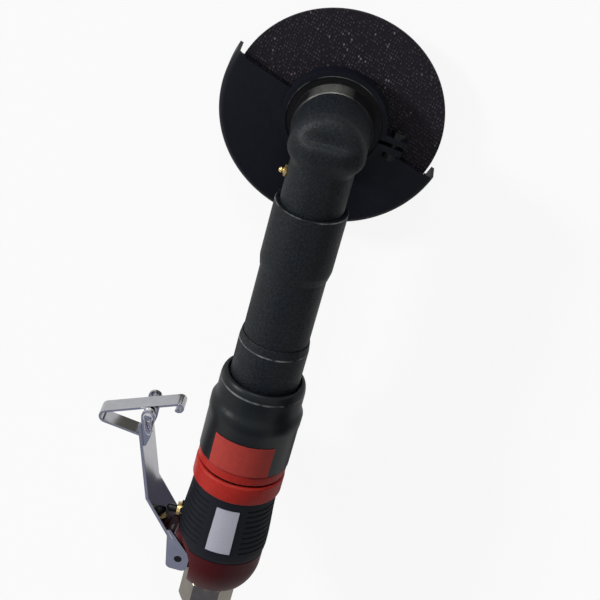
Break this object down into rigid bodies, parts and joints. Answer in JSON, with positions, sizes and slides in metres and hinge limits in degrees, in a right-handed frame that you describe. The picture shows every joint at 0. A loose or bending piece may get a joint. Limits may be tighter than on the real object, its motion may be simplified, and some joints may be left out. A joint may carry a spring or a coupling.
{
  "type": "right-angle air cut-off grinder",
  "caption": "Pneumatic right-angle cut-off grinder with a long extension tube, half guard over a thin cutting disc, lever throttle with a safety latch and a hexagonal air inlet.",
  "frame": {"origin": "centre of the air inlet's mouth, on the tool axis", "axes": "+X along the tool from the inlet to the head, +Y towards the throttle lever, +Z away from the disc along the spindle"},
  "size_m": [0.3208, 0.1264, 0.0721],
  "materials": {
    "nickel": "bright nickel plate",
    "steel": "ground",
    "dark_steel": "black oxide",
    "chrome": "bright chrome plate",
    "ring_steel": "turned steel, its flange blackened",
    "red_coat": "red satin coating",
    "dark_red": "dark red satin coating",
    "red_film": "red printed film without print",
    "badge": "satin plate without print",
    "rubber": "moulded black rubber",
    "seal": "moulded seal rubber",
    "housing": "black satin coating",
    "alloy": "machined",
    "crinkle": "black textured coating",
    "guard": "black satin enamel",
    "brass": "turned",
    "iron": "ground",
    "vane": "laminated phenolic",
    "disc": "bonded abrasive with glass mesh"
  },
  "bodies": {
    "body": {"inlet_bush": "nickel", "inlet_screen": "steel", "inlet_seal": "seal", "rear_cap": "dark_red", "lever_pin": "dark_steel", "valve_body": "alloy", "locating_pins": "steel", "grip_sleeve": "rubber", "badge_plate": "badge", "valve_bush": "brass", "valve_spring": "steel", "valve_plug": "brass", "exhaust_collar": "red_coat", "collar_lock_ring": "red_coat", "motor_housing": "housing", "label_plate": "red_film", "rear_end_plate": "iron", "front_end_plate": "iron", "motor_cylinder": "iron", "rear_motor_bearing": "steel", "front_motor_bearing": "steel", "extension_tube": "crinkle", "lower_sleeve": "crinkle", "upper_sleeve": "crinkle", "bearing_circlip": "dark_steel", "rear_shaft_bearing": "steel", "front_shaft_bearing": "steel", "angle_head": "crinkle", "grease_fitting": "brass", "upper_spindle_bearing": "steel", "lower_spindle_bearing": "steel", "bearing_cap": "ring_steel", "spindle_seal": "seal"},
    "rotor": {"rotor": "steel", "vanes": "vane", "shaft_coupling": "steel", "coupling_screws": "dark_steel", "drive_shaft": "steel", "drive_pinion": "steel"},
    "spindle": {"spindle": "steel", "bevel_gear": "steel", "inner_flange": "dark_steel", "cutting_disc": "disc", "outer_flange": "dark_steel", "disc_screw": "dark_steel"},
    "guard": {"guard": "guard", "guard_clamp_screw": "dark_steel", "guard_clamp_nut": "dark_steel"},
    "lever": {"throttle_lever": "chrome", "latch_pin": "chrome", "latch_spring": "steel"},
    "latch": {"safety_latch": "chrome"},
    "valve": {"valve_stem": "dark_steel", "valve_washer": "seal"}
  },
  "joints": [
    {"name": "spindle_spin", "type": "hinge", "parent": "body", "child": "spindle", "pos_m": [0.27, 0, 0], "axis": [0, 0, 1], "continuous": true},
    {"name": "rotor_spin", "type": "hinge", "parent": "body", "child": "rotor", "pos_m": [0.13, 0, 0], "axis": [1, 0, 0], "continuous": true},
    {"name": "guard_swivel", "type": "hinge", "parent": "body", "child": "guard", "pos_m": [0.27, 0, -0.034], "axis": [0, 0, 1], "range_deg": [-180, 180]},
    {"name": "lever_squeeze", "type": "hinge", "parent": "body", "child": "lever", "pos_m": [0.0295, 0.0183, 0], "axis": [0, 0, -1], "range_deg": [0, 6], "stiffness_Nm_per_rad": 1.2, "springref_deg": -6.88},
    {"name": "latch_fold", "type": "hinge", "parent": "lever", "child": "latch", "pos_m": [0.11005, 0.0498, 0], "axis": [0, 0, -1], "range_deg": [0, 90], "deforming": ["latch_spring"]},
    {"name": "valve_travel", "type": "slide", "parent": "body", "child": "valve", "axis": [0, -1, 0], "range_m": [0, 0.00336], "deforming": ["valve_spring"]}
  ],
  "couplings": [
    {"joint": "rotor_spin", "follows": "spindle_spin", "ratio": -1.5},
    {"joint": "latch_fold", "follows": "lever_squeeze", "ratio": 15},
    {"joint": "valve_travel", "follows": "lever_squeeze", "m_per_rad": 0.032096}
  ]
}
